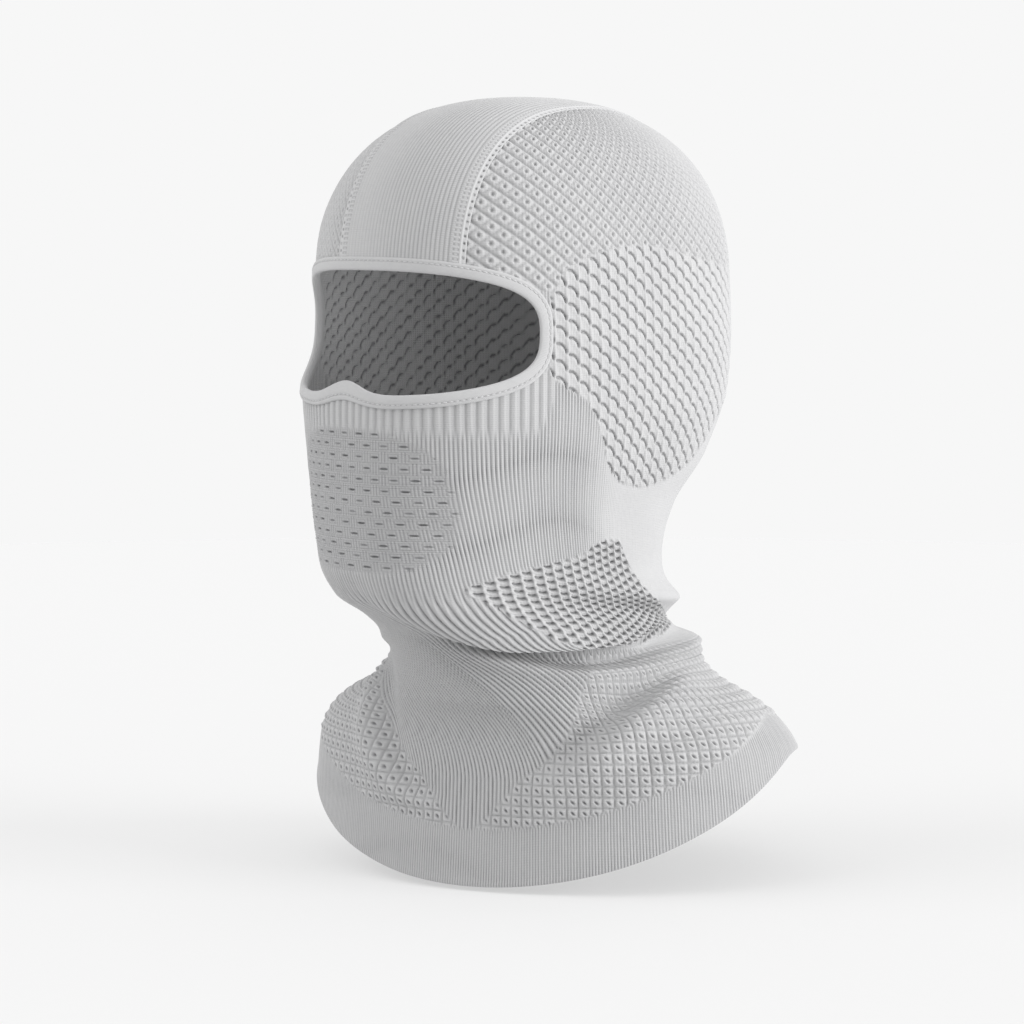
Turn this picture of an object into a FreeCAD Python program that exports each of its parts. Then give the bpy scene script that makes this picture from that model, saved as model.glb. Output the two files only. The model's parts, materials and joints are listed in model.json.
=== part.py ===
"""Knitted balaclava with a short neck and a bib, modelled at its worn shape.

Millimetres, +Z up. The face looks along -Y and the wearer's left is at +X. The origin is the
middle of the head, between the ears at the height of the eyes, which is the head seat.

The outer form is a stack of level sections, each a superellipse with its own half width, reach
to the front and reach to the back. From the chin down the sections turn about the neck's axis,
because the bib lies turned a little to the wearer's left of the face. A place on the form has
chart coordinates: an angle in degrees, 0 at the front and growing to the wearer's left, and a
height. Each knit zone and sewn piece is a thick panel of that form between four chart edges.
"""
import FreeCAD, Part
import math
import os

os.makedirs("parts", exist_ok=True)
doc = FreeCAD.newDocument("balaclava")
sheet = doc.addObject("Spreadsheet::Sheet", "Sizes")

# name: (height, centre in Y, half width, reach to the front, reach to the back, squareness)
SECTIONS = {
    "brow": (30, 0, 77.5, 97, 100, 2.45),
    "eyes": (0, 0, 79, 99, 101, 2.45),
    "nose": (-30, 0, 78, 107, 98, 2.40),
    "cheek": (-55, 0, 74, 107, 87, 2.35),
    "mouth": (-78, 2, 68, 110, 61, 2.35),
    "jaw": (-102, 6, 64, 112, 48, 2.35),
    "chin": (-116, 10, 62, 108, 47, 2.30),
    "underchin": (-126, 14, 61, 96, 48, 2.20),
    "throat": (-134, 17, 61, 90, 49, 2.10),
    "neck": (-148, 18, 68, 88, 54, 2.00),
    "collar": (-160, 18, 82, 87, 60, 2.00),
    "shoulder": (-168, 20, 98, 87, 67, 2.00),
    "cape": (-176, 22, 109, 88, 73, 2.00),
    "bib": (-188, 23, 116, 90, 80, 2.00),
    "chest": (-215, 24, 119, 93, 84, 2.00),
    "hemline": (-252, 24, 121, 96, 88, 2.00),
}
SECTION_FIELDS = ("height", "centre", "half", "front", "back", "square")

# name: (size, what it is)
SIZES = {
    "crown_top": (105, "height of the crown"),
    "dome_base": (20, "height from which the dome's curve is measured"),
    "dome_round": (2.35, "squareness of the dome's curve"),
    "fabric": (2.0, "thickness of the knit, relief included"),
    "trim_proud": (0.8, "how far binding and seam threads stand proud of the knit"),
    "thread_proud": (0.5, "thickness of the topstitch thread on the binding"),
    "thread_clear": (0.25, "how far the crown seams lie off the knit under them"),
    "edge_clear": (0.3, "how far each panel stops short of its border"),
    "shoulder_clear": (0.45, "how much more the bib lattice stops short, where it bends away under the neck"),
    "tip_clear": (1.5, "height of the chest panel's tip over the hem band"),
    "corner_round": (2.0, "rounding where two borders meet in a point"),
    "turn_top": (-112, "height where the neck starts to turn"),
    "turn_bottom": (-165, "height where the bib has its full turn"),
    "bib_turn": (18, "turn of the bib to the wearer's left, degrees"),
    "pull_low": (-105, "height below which the knit is not pulled round the head"),
    "pull_full": (-60, "height above which it has its full pull"),
    "strip_half": (31, "half width of the crown strip"),
    "strip_turn": (9.5, "turn of the crown strip to the wearer's left, degrees"),
    "strip_end": (27, "height of the crown strip's end at the back of the head"),
    "seam_width": (6, "width of a flatlock crown seam"),
    "eye_half_angle": (50, "eye opening's half width, degrees"),
    "eye_middle": (1.5, "height of the eye opening's middle"),
    "eye_half_height": (27, "half height of the eye opening"),
    "eye_square": (2.8, "squareness of the eye opening"),
    "nose_rise": (6, "rise of the lower edge over the nose bridge"),
    "nose_width": (8, "width of that rise, degrees"),
    "binding_width": (5.8, "width of the eye binding"),
    "binding_angle": (3.6, "width of the eye binding at its ends, degrees"),
    "topstitch_at": (0.70, "where the topstitch starts, as a part of the binding's width"),
    "topstitch_to": (0.84, "where the topstitch ends, as a part of the binding's width"),
    "gather_low": (-41, "height of the gathered band's lower edge"),
    "vent_angle": (30, "half width of the mouth vent, degrees"),
    "vent_low": (-103, "height of the mouth vent's lower edge at the middle"),
    "vent_corner": (-88, "height of the mouth vent's lower corners"),
    "cheek_angle": (80, "where the cheek ends and the nape jersey starts, degrees"),
    "head_low": (-118, "lowest level of the head body"),
    "neck_low": (-161.7, "lowest level of the neck pieces"),
    "bib_top": (-162, "highest level of the bib body"),
    "neck_mesh_from": (28, "front tip of the neck mesh, degrees"),
    "neck_mesh_to": (121, "rear tip of the neck mesh, degrees"),
    "nape_angle": (125, "where the neck's side folds meet the nape fold, degrees"),
    "hem_at_side": (-185, "hem height level with the neck's axis"),
    "hem_slope": (0.6, "fall of the hem towards the chest, per unit forward"),
    "hem_peak": (-184, "level towards which the hem rises over the shoulders"),
    "hem_back_slope": (0.16, "fall of the hem towards the back, per unit backward"),
    "hem_round": (5, "rounding of the hem's highest stretch"),
    "hem_width": (25, "rise of the hem band in front"),
}

row = 1
for section, values in SECTIONS.items():
    for field, value in zip(SECTION_FIELDS, values):
        sheet.set("A%d" % row, section + " section, " + field)
        sheet.set("B%d" % row, str(value))
        sheet.setAlias("B%d" % row, section + "_" + field)
        row += 1
for alias, (value, meaning) in SIZES.items():
    sheet.set("A%d" % row, meaning)
    sheet.set("B%d" % row, str(value))
    sheet.setAlias("B%d" % row, alias)
    row += 1
doc.recompute()


def size(alias):
    """The driving dimension with this alias."""
    return float(sheet.get(alias))


sz = {alias: size(alias) for alias in SIZES}
levels = [[size(name + "_" + field) for field in SECTION_FIELDS] for name in reversed(SECTIONS)]


# ---- smooth curves through given values ----------------------------------------------------

def curve_through(knots):
    """A smooth function through (x, y) knots with no overshoot, flat beyond its ends."""
    xs = [k[0] for k in knots]
    ys = [k[1] for k in knots]
    steps = [b - a for a, b in zip(xs, xs[1:])]
    slopes = [(b - a) / s for a, b, s in zip(ys, ys[1:], steps)]
    tangents = [slopes[0]]
    for before, after, s0, s1 in zip(slopes, slopes[1:], steps, steps[1:]):
        if before * after <= 0:
            tangents.append(0.0)
            continue
        w0 = 2 * s1 + s0
        w1 = s1 + 2 * s0
        tangents.append((w0 + w1) / (w0 / before + w1 / after))
    tangents.append(slopes[-1])

    def value(x):
        x = min(max(x, xs[0]), xs[-1])
        k = 0
        while k < len(steps) - 1 and x > xs[k + 1]:
            k += 1
        s = steps[k]
        t = (x - xs[k]) / s
        return ((1 + 2 * t) * (1 - t) ** 2 * ys[k] + t * (1 - t) ** 2 * s * tangents[k]
                + t * t * (3 - 2 * t) * ys[k + 1] + t * t * (t - 1) * s * tangents[k + 1])
    return value


# ---- the garment's form --------------------------------------------------------------------

section_curves = [curve_through([(level[0], level[k]) for level in levels]) for k in range(1, 6)]


def dome_scale(z):
    """How much of the brow section's size is left at this height."""
    low = size("brow_height")
    if z <= low:
        return 1.0

    def meridian(height):
        way = (height - sz["dome_base"]) / (sz["crown_top"] - sz["dome_base"])
        return max(1 - min(way, 1.0) ** sz["dome_round"], 0.0) ** (1 / sz["dome_round"])
    return meridian(z) / meridian(low)


def turned(z):
    """How far the section at this height is turned about the neck's axis, in radians."""
    way = (sz["turn_top"] - z) / (sz["turn_top"] - sz["turn_bottom"])
    way = min(max(way, 0.0), 1.0)
    return math.radians(sz["bib_turn"]) * way * way * (3 - 2 * way)


# How far the face of the garment is pulled to the wearer's left, in degrees, by chart angle.
pull = curve_through([(-180, 0), (-125, 1), (-85, 5), (-52, 7.5), (-25, 3), (-5, -1.5), (15, -2.5),
                      (32, -1.8), (50, 0), (180, 0)])


def pulled(angle, z):
    """Direction from the head's middle of a chart place, in degrees."""
    way = min(max((z - sz["pull_low"]) / (sz["pull_full"] - sz["pull_low"]), 0.0), 1.0)
    return angle + pull((angle + 180) % 360 - 180) * way * way * (3 - 2 * way)


def chart_angle(direction, z):
    """The chart angle that is pulled to this direction."""
    angle = direction
    for _ in range(12):
        angle += direction - pulled(angle, z)
    return angle


def superellipse_radius(sine, cosine, across, along, square):
    """Distance from the centre to a superellipse, in the direction of this sine and cosine."""
    return (abs(sine / across) ** square + abs(cosine / along) ** square) ** (-1 / square)


def form_point(angle, z):
    """The outer form's point at these chart coordinates."""
    return plain_point(pulled(angle, z), z)


def plain_point(angle, z):
    """The outer form's point in this direction, at this height."""
    centre, half, front, back, square = [curve(z) for curve in section_curves]
    scale = dome_scale(z)
    along = (front if math.cos(math.radians(angle)) > 0 else back) * scale
    a = math.radians(angle)
    radius = superellipse_radius(math.sin(a), math.cos(a), half * scale, along, square)
    a += turned(z)
    return FreeCAD.Vector(radius * math.sin(a), centre - radius * math.cos(a), z)


def form_normal(angle, z):
    """The outward normal there."""
    da = 0.2
    dz = 0.3 if z < 95 else 0.05
    around = form_point(angle + da, z) - form_point(angle - da, z)
    up = form_point(angle, z + dz) - form_point(angle, z - dz)
    return around.cross(up).normalize()


def hem_height(angle):
    """Height of the hem's edge at this angle: low over the chest, high over the shoulders."""
    z = sz["hem_at_side"]
    a = math.radians(angle)
    for _ in range(12):
        _, half, ahead, behind, square = [curve(z) for curve in section_curves]
        along = ahead if math.cos(a) > 0 else behind
        forward = superellipse_radius(math.sin(a), math.cos(a), half, along, square) * math.cos(a)
        chest = sz["hem_at_side"] - sz["hem_slope"] * forward
        back = sz["hem_peak"] + sz["hem_back_slope"] * forward
        z = (chest + back) / 2 - math.hypot((chest - back) / 2, sz["hem_round"])
    return z


# The hem band's rise at each angle, as a part of its rise in front: less where the shoulder is flat.
hem_part = curve_through([(0, 1.0), (50, 1.04), (75, 0.92), (90, 0.68), (104, 0.58), (180, 0.56)])


def hem_top(angle):
    return hem_height(angle) + sz["hem_width"] * hem_part(abs(angle))


def eye_edge(turn, part):
    """Chart place on the eye opening's outline: part 0 is the opening, 1 the binding's outside."""
    sine = math.sin(turn)
    cosine = math.cos(turn)
    radius = superellipse_radius(cosine, sine, 1, 1, sz["eye_square"])
    angle = (sz["eye_half_angle"] + part * sz["binding_angle"]) * radius * cosine
    z = sz["eye_middle"] + (sz["eye_half_height"] + part * sz["binding_width"]) * radius * sine
    if sine < 0:
        z += sz["nose_rise"] * math.exp(-(angle / sz["nose_width"]) ** 2) * (1 - 0.4 * part)
    return angle, z


def binding_side(angle, upper):
    """Height of the binding's outer edge at this angle."""
    reach = sz["eye_half_angle"] + sz["binding_angle"]
    tall = sz["eye_half_height"] + sz["binding_width"]
    way = min(abs(angle) / reach, 1.0) ** sz["eye_square"]
    z = tall * (1 - way) ** (1 / sz["eye_square"])
    if upper:
        return sz["eye_middle"] + z
    return sz["eye_middle"] - z + 0.6 * sz["nose_rise"] * math.exp(-(angle / sz["nose_width"]) ** 2)


def softly_least(first, second):
    """The lower of two heights, rounded where they meet."""
    return (first + second) / 2 - math.hypot((first - second) / 2, sz["corner_round"])


def softly_most(first, second):
    return -softly_least(-first, -second)


# Zone borders: height against angle on one side of the head, the same on both sides.
BINDING_END = 53.4
STRIP_CLEAR = 0.5
ear_top = curve_through([(BINDING_END, 6), (55, 18), (58, 29), (70, 36), (88, 39), (112, 34), (142, 28),
                         (180, 27)])
ear_low = curve_through([(BINDING_END, -19), (60, -24), (66, -30), (71, -45), (75, -58), (82, -65), (93, -68),
                         (108, -65), (121, -58), (131, -46), (141, -33), (155, -29), (180, -29)])
gather_low = curve_through([(0, sz["gather_low"]), (42, sz["gather_low"]), (49, -36), (BINDING_END, -19)])
vent_low = curve_through([(0, sz["vent_low"]), (18, -100), (sz["vent_angle"], sz["vent_corner"])])
neck_mesh_top = curve_through([(27, -118), (45, -109), (70, -100), (90, -94), (105, -102), (122, -118)])
neck_mesh_low = curve_through([(27, -118), (45, -127), (60, -133), (75, -137), (100, -134), (122, -118)])
# Front border of the ear mesh, in degrees against height: it goes round the end of the binding.
ear_front = curve_through([(-19, BINDING_END), (-13.2, 51.7), (-8, 53.0), (-3, 53.7), (6, 53.8)])
# Half width of the front rib panel, in degrees, against height: wide at the throat, a V on the chest.
rib_angle = curve_through([(-221, 0.8), (-207, 8), (-192, 17), (-184, 25), (-175, 28), (-162, 36),
                           (-148, 44), (-137, 50), (-118, 44)])


# ---- panels --------------------------------------------------------------------------------

GRID_STEP = 3.0
FINE_STEP = 1.2


def wall(outer_edge, inner_edge):
    return Part.makeRuledSurface(outer_edge, inner_edge)


def thick_panel(label, outer, inner, closed=False):
    """A solid between two grids of points with the same rows and columns."""
    faces = []
    for grid in (outer, inner):
        surface = Part.BSplineSurface()
        surface.interpolate(grid)
        faces.append(surface.toShape())
    ends = []
    for face in faces:
        surface = face.Surface
        u0, u1, v0, v1 = surface.bounds()
        ends.append([surface.vIso(v0).toShape(), surface.vIso(v1).toShape(),
                     surface.uIso(u0).toShape(), surface.uIso(u1).toShape()])
    kept = 2 if closed else 4
    walls = [wall(a, b) for a, b in list(zip(*ends))[:kept]]
    shell = Part.Compound(faces + walls)
    shell.sewShape(0.02)
    solid = Part.Solid(shell.Shells[0])
    if solid.Volume < 0:
        solid.reverse()
    item = doc.addObject("Part::Feature", label + "_solid")
    item.Label = label
    item.Shape = solid
    return item


def blend_edges(low, high, left, right, u, v):
    """The chart place inside four edges, each a function from 0 to 1 (a Coons patch)."""
    place = []
    for k in (0, 1):
        across = (1 - v) * low(u)[k] + v * high(u)[k]
        along = (1 - u) * left(v)[k] + u * right(v)[k]
        corners = ((1 - u) * (1 - v) * low(0)[k] + u * (1 - v) * low(1)[k]
                   + (1 - u) * v * high(0)[k] + u * v * high(1)[k])
        place.append(across + along - corners)
    return place


def steps_for(length, step=GRID_STEP):
    return max(int(math.ceil(length / step)), 3)


def spread(place_of, columns, rows, outside, inside, closed=False):
    """Outer and inner grids of points from a map (u, v) to chart coordinates."""
    outer = []
    inner = []
    for i in range(columns + 1):
        outer_line = []
        inner_line = []
        for j in range(rows + 1):
            u = (i % columns if closed else i) / columns
            angle, z = place_of(u, j / rows)
            point = form_point(angle, z)
            normal = form_normal(angle, z)
            outer_line.append(point + normal * outside)
            inner_line.append(point + normal * inside)
        outer.append(outer_line)
        inner.append(inner_line)
    return outer, inner


nodes = []


def chart_panel(label, low, high, left, right, outside=0.0, inside=None, step=GRID_STEP):
    """A panel between four chart edges, with grid columns a step apart."""
    if inside is None:
        inside = -sz["fabric"]

    def whole(u, v):
        return blend_edges(low, high, left, right, u, v)
    middle = [form_point(*whole(k / 10, 0.5)) for k in range(11)]
    width = sum((b - a).Length for a, b in zip(middle, middle[1:]))
    height = max((form_point(*whole(u, 1)) - form_point(*whole(u, 0))).Length for u in (0.1, 0.5, 0.9))
    side = sz["edge_clear"] / width

    def short_of(edge, u, tall):
        """The part of the panel's height to leave free at an edge, more where the edge is steep."""
        run = form_point(*edge(min(u + 0.01, 1))) - form_point(*edge(max(u - 0.01, 0)))
        steepness = min(run.Length / math.hypot(run.x, run.y), 4)
        return min(sz["edge_clear"] * steepness / tall, 0.25)

    def place(u, v):
        """The same, stopping short of all four edges."""
        u = side + (1 - 2 * side) * u
        tall = (form_point(*whole(u, 1)) - form_point(*whole(u, 0))).Length
        start = short_of(low, u, tall)
        return whole(u, start + (1 - start - short_of(high, u, tall)) * v)
    outer, inner = spread(place, steps_for(width, step), steps_for(height), outside, inside)
    nodes.append(thick_panel(label, outer, inner))


def between(label, start, end, low, high, step=GRID_STEP):
    """A panel whose left and right edges are at fixed angles; low and high are heights by angle.

    Angles past 180 run on round the back, so a border curve is read at the same distance from the front.
    """
    def folded(angle):
        return abs((angle + 180) % 360 - 180)

    def edge(height):
        return lambda u: (start + (end - start) * u, height(folded(start + (end - start) * u)))

    def side(angle):
        bottom = low(folded(angle))
        top = high(folded(angle))
        return lambda v: (angle, bottom + (top - bottom) * v)
    chart_panel(label, edge(low), edge(high), side(start), side(end), step=step)


def both_sides(name, start, end, low, high, step=GRID_STEP):
    between("left_" + name, start, end, low, high, step)
    between("right_" + name, -end, -start, low, high, step)


def level(z):
    return lambda _angle: z


# ---- the crown strip's own chart -----------------------------------------------------------

def strip_point(across, tilt):
    """Chart place where the plane at this distance across the strip meets the dome.

    tilt is the direction in that plane: 0 is forward, 90 is up and 180 is back.
    """
    turn = math.radians(sz["strip_turn"])
    t = math.radians(tilt)

    def place(reach):
        along = -reach * math.cos(t)
        x = across * math.cos(turn) - along * math.sin(turn)
        y = across * math.sin(turn) + along * math.cos(turn)
        return x, y, sz["dome_base"] + reach * math.sin(t)
    low = 0.0
    high = 200.0
    for _ in range(50):
        reach = (low + high) / 2
        x, y, z = place(reach)
        angle = math.degrees(math.atan2(x, -y))
        inside = z < sz["crown_top"] - 0.001
        if inside:
            edge = plain_point(angle, max(z, 0.0))
            inside = math.hypot(x, y) < math.hypot(edge.x, edge.y)
        if inside:
            low = reach
        else:
            high = reach
    return angle, place(low)[2]


def strip_tilt(across, front):
    """Tilt at the strip's end: the binding in front, the strip's end level behind."""
    low = 0.0 if front else 180.0
    high = 90.0
    for _ in range(30):
        tilt = (low + high) / 2
        angle, z = strip_point(across, tilt)
        limit = binding_side(chart_angle(angle, z), True) if front else sz["strip_end"]
        if z < limit:
            low = tilt
        else:
            high = tilt
    return tilt


def strip_panel(label, start, end, outside, inside):
    """A panel along the crown strip, from start to end across it."""
    columns = steps_for(abs(end - start))
    rows = 48
    outer = []
    inner = []
    for i in range(columns + 1):
        across = start + (end - start) * i / columns
        front = strip_tilt(across, True)
        back = strip_tilt(across, False)
        outer_line = []
        inner_line = []
        for j in range(rows + 1):
            tilt = front + (back - front) * j / rows
            point, normal = dome_point(across, tilt)
            outer_line.append(point + normal * outside)
            inner_line.append(point + normal * inside)
        outer.append(outer_line)
        inner.append(inner_line)
    nodes.append(thick_panel(label, outer, inner))


def dome_point(across, tilt):
    """Point and outward normal on the dome, which stay smooth over the very top."""
    def point(a, t):
        return plain_point(*strip_point(a, t))
    step = 1.0
    forward = point(across, tilt + step) - point(across, tilt - step)
    sideways = point(across + step, tilt) - point(across - step, tilt)
    return point(across, tilt), sideways.cross(forward).normalize()


def strip_border(side):
    """Height of the strip's edge against angle, on one side of the head."""
    places = []
    front = strip_tilt(side * sz["strip_half"], True)
    back = strip_tilt(side * sz["strip_half"], False)
    count = 60
    for k in range(count + 1):
        angle, z = strip_point(side * sz["strip_half"], front + (back - front) * k / count)
        places.append((side * chart_angle(angle, z), z))
    return curve_through(sorted(places)), places[0][0], places[-1][0]


# ---- building ------------------------------------------------------------------------------

def ring_panel(label, part_in, part_out, outside, inside):
    """A closed band round the eye opening, between two parts of the binding's width."""
    columns = 96
    rows = 3

    def place(u, v):
        turn = 2 * math.pi * u
        return eye_edge(turn, part_in + (part_out - part_in) * v)
    outer, inner = spread(place, columns, rows, outside, inside, closed=True)
    nodes.append(thick_panel(label, outer, inner, closed=True))


def build_head():
    ring_panel("eye_binding", 0.0, 1.0, sz["trim_proud"], -sz["fabric"])
    proud = sz["trim_proud"]
    thread = proud + sz["thread_proud"]
    ring_panel("eye_binding_topstitch", sz["topstitch_at"], sz["topstitch_to"], thread, proud)

    strip_half = sz["strip_half"] - sz["edge_clear"]
    strip_panel("crown_rib_strip", -strip_half, strip_half, 0.0, -sz["fabric"])
    half = sz["seam_width"] / 2
    for name, side in (("left", 1), ("right", -1)):
        middle = side * sz["strip_half"]
        strip_panel(name + "_crown_seam", middle - half, middle + half, proud, sz["thread_clear"])
        border, start, end = strip_border(side)

        def lower(angle):
            return softly_most(binding_side(angle, True), ear_top(angle))
        first = start + STRIP_CLEAR
        last = end - STRIP_CLEAR
        if side > 0:
            between(name + "_temple_lattice", first, last, lower, border)
        else:
            between(name + "_temple_lattice", -last, -first, lower, border)

    def ear_panel(name, turn):
        """The ear mesh from the binding's end to the middle of the nape; turn mirrors it."""
        def low(u):
            angle = BINDING_END + (180 - BINDING_END) * u
            return turn * angle, ear_low(angle)

        def high(u):
            start = ear_front(ear_top(BINDING_END))
            angle = start + (180 - start) * u
            return turn * angle, ear_top(angle)

        def front(v):
            z = ear_low(BINDING_END) + (ear_top(BINDING_END) - ear_low(BINDING_END)) * v
            return turn * ear_front(z), z

        def rear(v):
            return turn * 180, ear_low(180) + (ear_top(180) - ear_low(180)) * v
        if turn > 0:
            chart_panel(name, low, high, front, rear)
        else:
            chart_panel(name, reverse(low), reverse(high), rear, front)
    ear_panel("left_ear_mesh", 1)
    ear_panel("right_ear_mesh", -1)

    # The gathered band follows the binding's outer edge from corner to corner.
    corner_turn = math.radians(25)

    def binding_low(u):
        return eye_edge(corner_turn - math.pi + (math.pi - 2 * corner_turn) * u, 1)

    def gather_edge(u):
        angle = BINDING_END * (2 * u - 1)
        return angle, gather_low(abs(angle))

    def gather_end(turn):
        low = gather_edge((turn + 1) / 2)
        high = binding_low((turn + 1) / 2)
        return lambda v: tuple(a + (b - a) * v for a, b in zip(low, high))
    chart_panel("under_eye_gather", gather_edge, binding_low, gather_end(-1), gather_end(1), step=FINE_STEP)
    vent = sz["vent_angle"]
    between("mouth_vent_panel", -vent, vent, vent_low, level(sz["gather_low"]))
    between("chin_rib_panel", -vent, vent, cheek_low, vent_low)
    both_sides("cheek_rib", vent, sz["cheek_angle"], cheek_low, cheek_top, FINE_STEP)
    cheek = sz["cheek_angle"]
    between("nape_jersey", cheek, 360 - cheek, cheek_low, ear_low)


def cheek_low(angle):
    """Lower border of the face and nape: the head body's lowest level, or the neck mesh."""
    if sz["neck_mesh_from"] < angle < sz["neck_mesh_to"]:
        return max(neck_mesh_top(angle), sz["head_low"])
    return sz["head_low"]


def cheek_top(angle):
    return softly_least(gather_low(angle), ear_low(angle))


def build_neck():
    both_sides("neck_mesh", sz["neck_mesh_from"], sz["neck_mesh_to"], neck_mesh_low, neck_mesh_top)
    top = sz["head_low"]
    low = sz["neck_low"]

    def rib_edge(side):
        return lambda v: (side * rib_angle(low + (top - low) * v), low + (top - low) * v)

    def throat_low(u):
        return (2 * u - 1) * rib_angle(low), low

    def throat_high(u):
        angle = (2 * u - 1) * rib_angle(corner)
        return angle, throat_top(angle)

    def throat_top(angle):
        return min(neck_mesh_low(abs(angle)), top)
    left = rib_edge(-1)
    right = rib_edge(1)
    corner = top
    for _ in range(40):
        corner = throat_top(rib_angle(corner))

    def cut_down(edge):
        """The rib panel's side edge, ending at the neck mesh instead of the head's lowest level."""
        return lambda v: edge(v * (corner - low) / (top - low))
    chart_panel("throat_rib_panel", throat_low, throat_high, cut_down(left), cut_down(right))

    nape = sz["nape_angle"]
    for name, side in (("left", 1), ("right", -1)):
        def along(z):
            start = rib_angle(z)
            return lambda u: (side * (start + (nape - start) * u), z)

        def upper(u):
            start = rib_angle(corner)
            angle = start + (nape - start) * u
            return side * angle, throat_top(angle)

        def rear(v):
            return side * nape, low + (top - low) * v
        front = cut_down(rib_edge(side))
        if side > 0:
            chart_panel(name + "_neck_fold", along(low), upper, front, rear)
        else:
            chart_panel(name + "_neck_fold", reverse(along(low)), reverse(upper), rear, front)
    between("nape_fold", nape, 360 - nape, level(low), level(top))


def reverse(edge):
    return lambda u: edge(1 - u)


def build_bib():
    top = sz["bib_top"]
    tip = hem_top(0) + sz["tip_clear"]

    def shield_edge(side):
        return lambda v: (side * rib_angle(tip + (top - tip) * v), tip + (top - tip) * v)

    def shield_across(z):
        return lambda u: ((2 * u - 1) * rib_angle(z), z)
    chart_panel("chest_rib_panel", shield_across(tip), shield_across(top), shield_edge(-1), shield_edge(1))

    tip_angle = rib_angle(tip)
    back = 180
    lattice_top = top - sz["shoulder_clear"]
    for name, side in (("left", 1), ("right", -1)):
        def lower(u):
            angle = tip_angle + (back - tip_angle) * u
            return side * angle, hem_top(angle)

        def upper(u):
            start = rib_angle(lattice_top)
            return side * (start + (back - start) * u), lattice_top

        def rear(v):
            return side * back, hem_top(back) + (lattice_top - hem_top(back)) * v

        def front(v):
            z = hem_top(tip_angle) + (lattice_top - hem_top(tip_angle)) * v
            return side * rib_angle(z), z
        if side > 0:
            chart_panel(name + "_bib_lattice", lower, upper, front, rear)
        else:
            chart_panel(name + "_bib_lattice", reverse(lower), reverse(upper), rear, front)

    def hem_place(u, v):
        angle = 360 * u - 180
        return angle, hem_height(angle) + (hem_top(angle) - hem_height(angle) - sz["edge_clear"]) * v
    outer, inner = spread(hem_place, 140, 6, 0.0, -sz["fabric"], closed=True)
    nodes.append(thick_panel("hem_band", outer, inner, closed=True))


build_head()
build_neck()
build_bib()
doc.recompute()

for item in doc.Objects:
    if "Invalid" in item.State or "Error" in item.State:
        raise SystemExit(item.Name + " failed: " + str(item.State))
failures = [s.Label for s in nodes if s.Shape.isNull() or not s.Shape.isValid() or not s.Shape.Solids]
for solid in nodes:
    shape = solid.Shape
    print("%-24s solids %d  volume %9.1f mm3" % (solid.Label, len(shape.Solids), shape.Volume))
if failures:
    raise SystemExit("no valid solid: " + ", ".join(failures))
for solid in nodes:
    solid.Shape.exportStep("parts/" + solid.Label + ".step")
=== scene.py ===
"""The balaclava as knit: every zone of the CAD shell is replaced by a knitted panel with real relief."""
import json
import math

import bpy
import numpy as np
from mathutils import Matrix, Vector


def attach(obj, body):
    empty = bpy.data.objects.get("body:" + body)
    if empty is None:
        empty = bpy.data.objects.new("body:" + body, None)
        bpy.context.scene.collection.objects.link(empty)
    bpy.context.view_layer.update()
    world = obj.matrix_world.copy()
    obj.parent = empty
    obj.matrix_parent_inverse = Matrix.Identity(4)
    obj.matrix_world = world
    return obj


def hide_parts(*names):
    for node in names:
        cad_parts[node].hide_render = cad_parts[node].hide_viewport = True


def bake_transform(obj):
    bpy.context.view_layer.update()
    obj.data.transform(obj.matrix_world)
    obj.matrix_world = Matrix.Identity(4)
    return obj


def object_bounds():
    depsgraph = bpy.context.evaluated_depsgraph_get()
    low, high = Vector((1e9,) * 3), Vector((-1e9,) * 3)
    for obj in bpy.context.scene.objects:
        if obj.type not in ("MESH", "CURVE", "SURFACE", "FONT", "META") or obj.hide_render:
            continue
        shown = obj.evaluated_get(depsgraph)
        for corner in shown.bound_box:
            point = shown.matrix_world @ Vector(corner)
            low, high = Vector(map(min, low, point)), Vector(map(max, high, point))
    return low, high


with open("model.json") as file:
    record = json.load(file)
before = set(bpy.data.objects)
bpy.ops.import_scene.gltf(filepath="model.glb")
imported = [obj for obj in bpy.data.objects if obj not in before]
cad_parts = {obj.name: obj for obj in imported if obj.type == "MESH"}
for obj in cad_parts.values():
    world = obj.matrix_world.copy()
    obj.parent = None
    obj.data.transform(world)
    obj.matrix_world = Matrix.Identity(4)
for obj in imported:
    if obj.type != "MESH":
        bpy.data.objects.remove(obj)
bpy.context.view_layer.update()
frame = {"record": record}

MM = 0.001

# ---- the form, as the CAD has it (millimetres and degrees)

# height, centre in Y, half width, reach to the front, reach to the back, squareness
SECTIONS = [
    (-252, 24, 121, 96, 88, 2.00),
    (-215, 24, 119, 93, 84, 2.00),
    (-188, 23, 116, 90, 80, 2.00),
    (-176, 22, 109, 88, 73, 2.00),
    (-168, 20, 98, 87, 67, 2.00),
    (-160, 18, 82, 87, 60, 2.00),
    (-148, 18, 68, 88, 54, 2.00),
    (-134, 17, 61, 90, 49, 2.10),
    (-126, 14, 61, 96, 48, 2.20),
    (-116, 10, 62, 108, 47, 2.30),
    (-102, 6, 64, 112, 48, 2.35),
    (-78, 2, 68, 110, 61, 2.35),
    (-55, 0, 74, 107, 87, 2.35),
    (-30, 0, 78, 107, 98, 2.40),
    (0, 0, 79, 99, 101, 2.45),
    (30, 0, 77.5, 97, 100, 2.45),
]
BROW = 30.0
CROWN_TOP = 105.0
DOME_BASE = 20.0
DOME_ROUND = 2.35
FABRIC = 2.0
TURN_TOP = -112.0
TURN_BOTTOM = -165.0
BIB_TURN = 18.0
STRIP_HALF = 31.0
STRIP_TURN = 9.5
STRIP_END = 27.0
EYE_HALF_ANGLE = 50.0
EYE_MIDDLE = 1.5
EYE_HALF_HEIGHT = 27.0
EYE_SQUARE = 2.8
NOSE_RISE = 6.0
NOSE_WIDTH = 8.0
BINDING_WIDTH = 5.8
BINDING_ANGLE = 3.6
HEAD_LOW = -118.0
BIB_TOP = -162.0
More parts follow.
